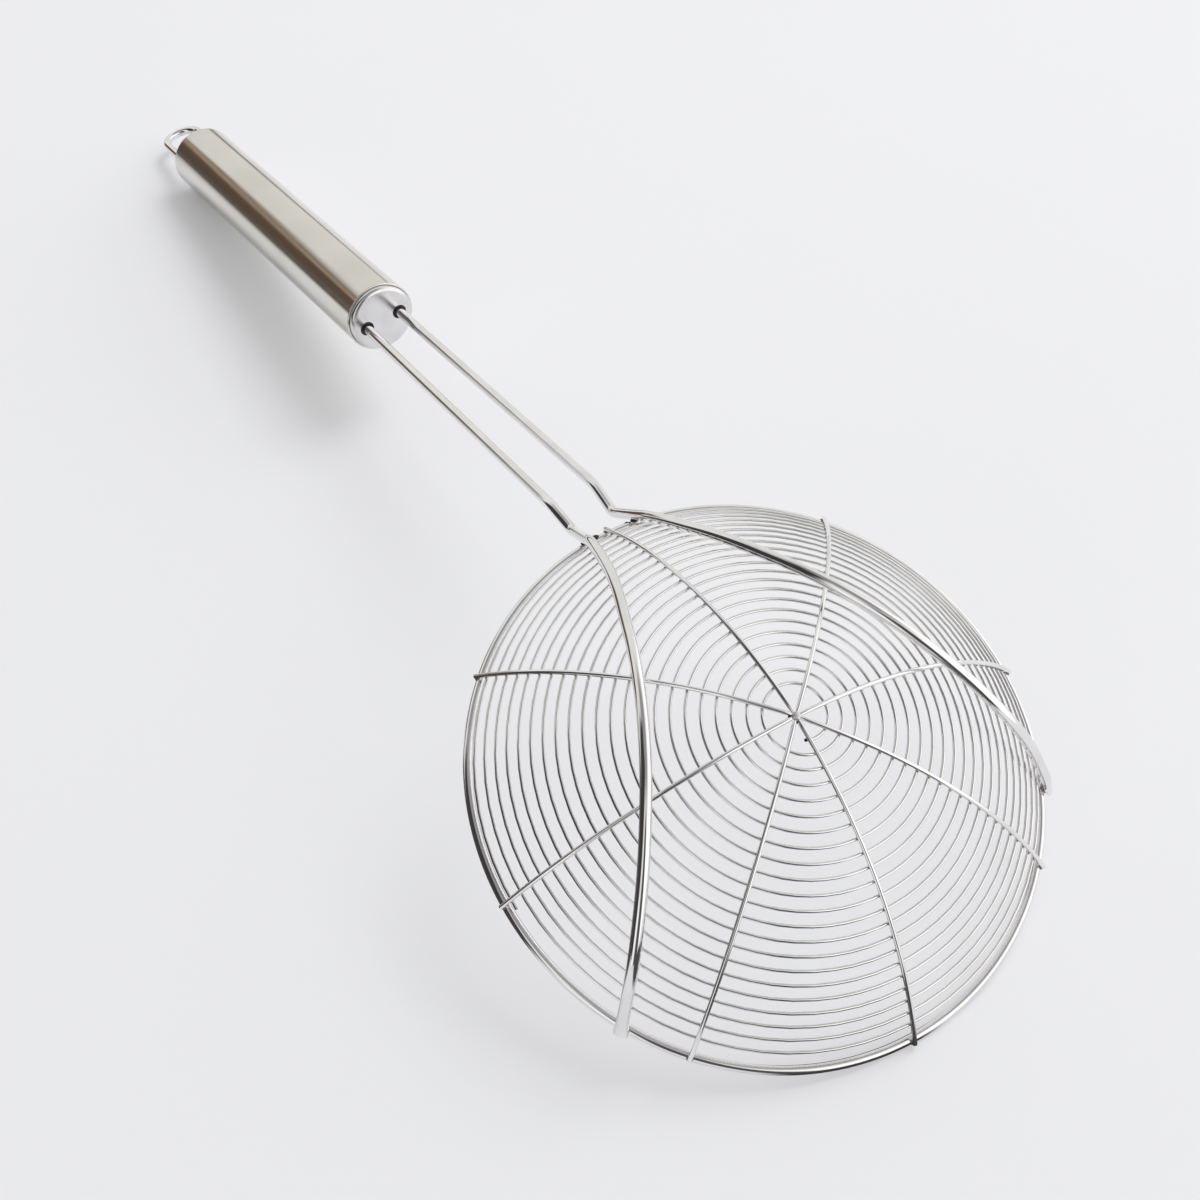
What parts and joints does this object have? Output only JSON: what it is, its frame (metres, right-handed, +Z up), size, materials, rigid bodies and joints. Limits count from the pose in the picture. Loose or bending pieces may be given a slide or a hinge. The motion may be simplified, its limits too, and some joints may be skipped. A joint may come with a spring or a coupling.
{
  "type": "spider skimmer",
  "caption": "Wire spider skimmer: a domed spiral-wire basket with radial ribs on a rim ring, carried by two fork wires on a round steel tube handle with a hanging loop.",
  "frame": {"origin": "On the worktop, under the middle of the part's length and width, as it lies dome up.", "axes": "+X from the handle to the basket, +Z up from the worktop, +Y to the left seen from the handle."},
  "size_m": [0.4202, 0.1412, 0.0675],
  "materials": {
    "handle_steel": "satin polished stainless tube",
    "cap_steel": "stamped polished stainless sheet",
    "loop_steel": "bright drawn stainless wire",
    "wire_steel": "bright drawn stainless wire",
    "weld_steel": "bare resistance weld, slightly darkened"
  },
  "bodies": {
    "root": {"rim_ring": "wire_steel", "spiral_wire": "wire_steel", "crown_weld": "weld_steel", "rim_rib_welds": "weld_steel", "rim_fork_welds": "weld_steel", "fork_wire_left": "wire_steel", "fork_wire_right": "wire_steel", "handle_tube": "handle_steel", "front_cap": "cap_steel", "rear_cap": "cap_steel", "fork_welds": "weld_steel", "loop_welds": "weld_steel", "hanging_loop": "loop_steel", "rib_front": "wire_steel", "rib_front_left": "wire_steel", "rib_left": "wire_steel", "rib_rear_left": "wire_steel", "rib_rear": "wire_steel", "rib_rear_right": "wire_steel", "rib_right": "wire_steel", "rib_front_right": "wire_steel"}
  },
  "joints": []
}
